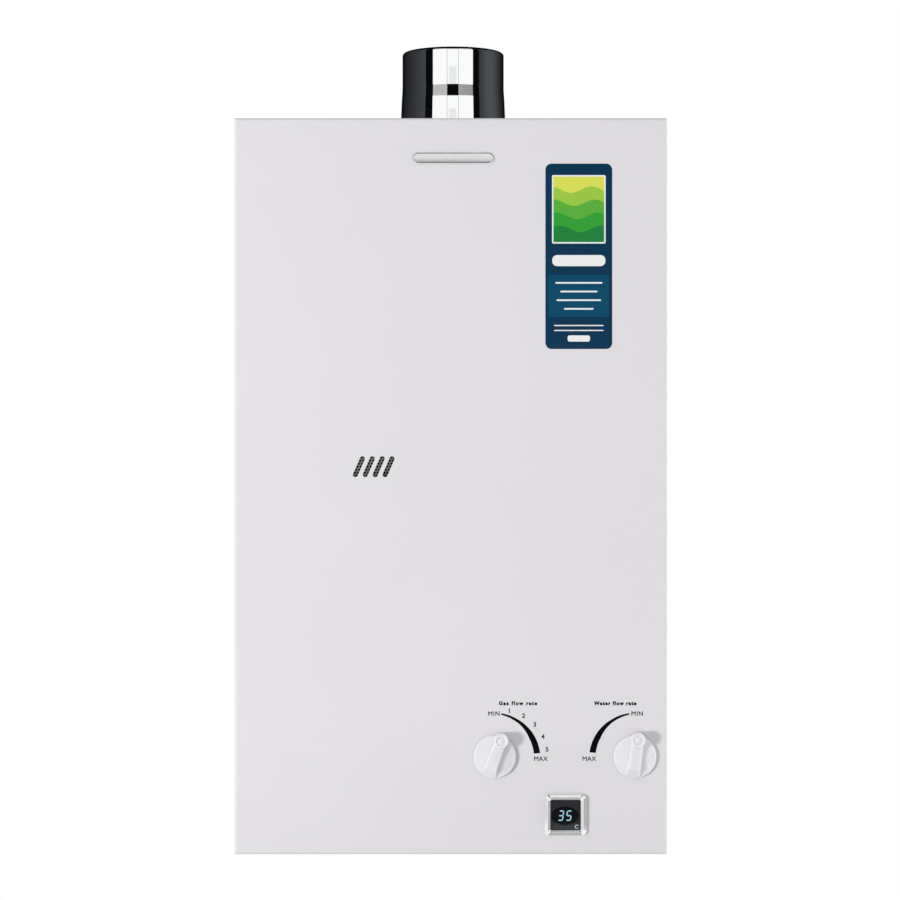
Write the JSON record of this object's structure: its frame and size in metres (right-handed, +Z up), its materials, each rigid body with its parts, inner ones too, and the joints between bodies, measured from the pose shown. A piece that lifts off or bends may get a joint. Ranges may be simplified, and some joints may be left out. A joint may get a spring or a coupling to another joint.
{
  "type": "gas water heater",
  "caption": "Wall-hung instantaneous gas water heater: folded sheet cover with sight slots, two control knobs and a display, round flue collar on top, threaded connections below.",
  "frame": {"origin": "middle of the four wall screw holes, on the wall face of the back tray", "axes": "+Z up, +Y into the wall, -Y out of the front cover, +X to the right seen from the front"},
  "size_m": [0.3544, 0.184, 0.6786],
  "materials": {
    "cover_paint": "smooth satin white paint",
    "galvanised": "galvanised sheet, dull",
    "dark_mesh": "darkened perforated sheet",
    "bright_steel": "bright polished",
    "zinc_steel": "zinc plated",
    "burner_steel": "stainless, dull",
    "copper": "copper, dull",
    "brass": "machined",
    "cast_aluminium": "die cast, matt",
    "motor_black": "black enamel",
    "knob_white": "smooth white moulding",
    "bezel_chrome": "satin chrome plating",
    "lens_dark": "dark tinted window",
    "circuit_green": "circuit board",
    "plastic_black": "black moulding",
    "rubber_dark": "soft black rubber",
    "ceramic_white": "white insulator"
  },
  "bodies": {
    "chassis": {"front_cover": "cover_paint", "back_tray": "galvanised", "top_plate": "galvanised", "bottom_plate": "galvanised", "support_brackets": "galvanised", "exhaust_hood": "galvanised", "fan_housing": "galvanised", "fan_front_plate": "galvanised", "burner_frame": "galvanised", "sight_mesh": "dark_mesh", "flue_collar": "bright_steel", "flue_flange": "bright_steel", "cover_screws": "zinc_steel", "flue_screws": "zinc_steel", "return_spring": "zinc_steel", "electrode_rods": "zinc_steel", "overheat_thermostat": "zinc_steel", "air_pressure_switch": "zinc_steel", "burner_bars": "burner_steel", "heat_exchanger": "copper", "return_bends": "copper", "combustion_chamber": "copper", "cold_water_pipe": "copper", "hot_water_pipe": "copper", "water_valve_body": "brass", "diaphragm_cover": "brass", "gas_inlet": "brass", "cold_water_inlet": "brass", "hot_water_outlet": "brass", "connection_nuts": "brass", "gas_nozzles": "brass", "gas_valve_body": "cast_aluminium", "gas_manifold": "cast_aluminium", "gas_feed_pipe": "cast_aluminium", "fan_motor": "motor_black", "gas_solenoid": "motor_black", "display_bezel": "bezel_chrome", "display_lens": "lens_dark", "display_board": "circuit_green", "control_board": "circuit_green", "control_box": "plastic_black", "control_box_lid": "plastic_black", "microswitch": "plastic_black", "cable_gland": "plastic_black", "ignition_module": "plastic_black", "drain_plug": "plastic_black", "flue_gasket": "rubber_dark", "pressure_tube": "rubber_dark", "electrode_insulators": "ceramic_white"},
    "gas_control": {"gas_knob": "knob_white", "gas_spindle": "zinc_steel"},
    "water_control": {"water_knob": "knob_white", "water_spindle": "zinc_steel"},
    "fan_rotor": {"fan_impeller": "cast_aluminium", "fan_shaft": "zinc_steel"},
    "flow_slider": {"flow_rod": "zinc_steel", "diaphragm": "rubber_dark"},
    "gas_shutter": {"gas_plunger": "zinc_steel"},
    "lever": {"switch_lever": "zinc_steel"}
  },
  "joints": [
    {"name": "gas_knob_turn", "type": "hinge", "parent": "chassis", "child": "gas_control", "pos_m": [0.0356, -0.171, -0.2185], "axis": [0, 1, 0], "range_deg": [-11.2, 63]},
    {"name": "water_knob_turn", "type": "hinge", "parent": "chassis", "child": "water_control", "pos_m": [0.1489, -0.171, -0.2185], "axis": [0, 1, 0], "range_deg": [-90, 0]},
    {"name": "fan_spin", "type": "hinge", "parent": "chassis", "child": "fan_rotor", "pos_m": [-0.0445, -0.085, 0.2189], "axis": [0, 1, 0], "continuous": true},
    {"name": "flow_slide", "type": "slide", "parent": "chassis", "child": "flow_slider", "axis": [-1, 0, 0], "range_m": [0, 0.004], "stiffness_N_per_m": 800, "deforming": ["return_spring"]},
    {"name": "switch_lever_turn", "type": "hinge", "parent": "chassis", "child": "lever", "pos_m": [0.08, -0.084, -0.1995], "axis": [0, 1, 0], "range_deg": [0, 23]},
    {"name": "gas_shutter_slide", "type": "slide", "parent": "chassis", "child": "gas_shutter", "axis": [-1, 0, 0], "range_m": [0, 0.004], "stiffness_N_per_m": 500}
  ],
  "couplings": [
    {"joint": "switch_lever_turn", "follows": "flow_slide", "rad_per_m": 100}
  ]
}
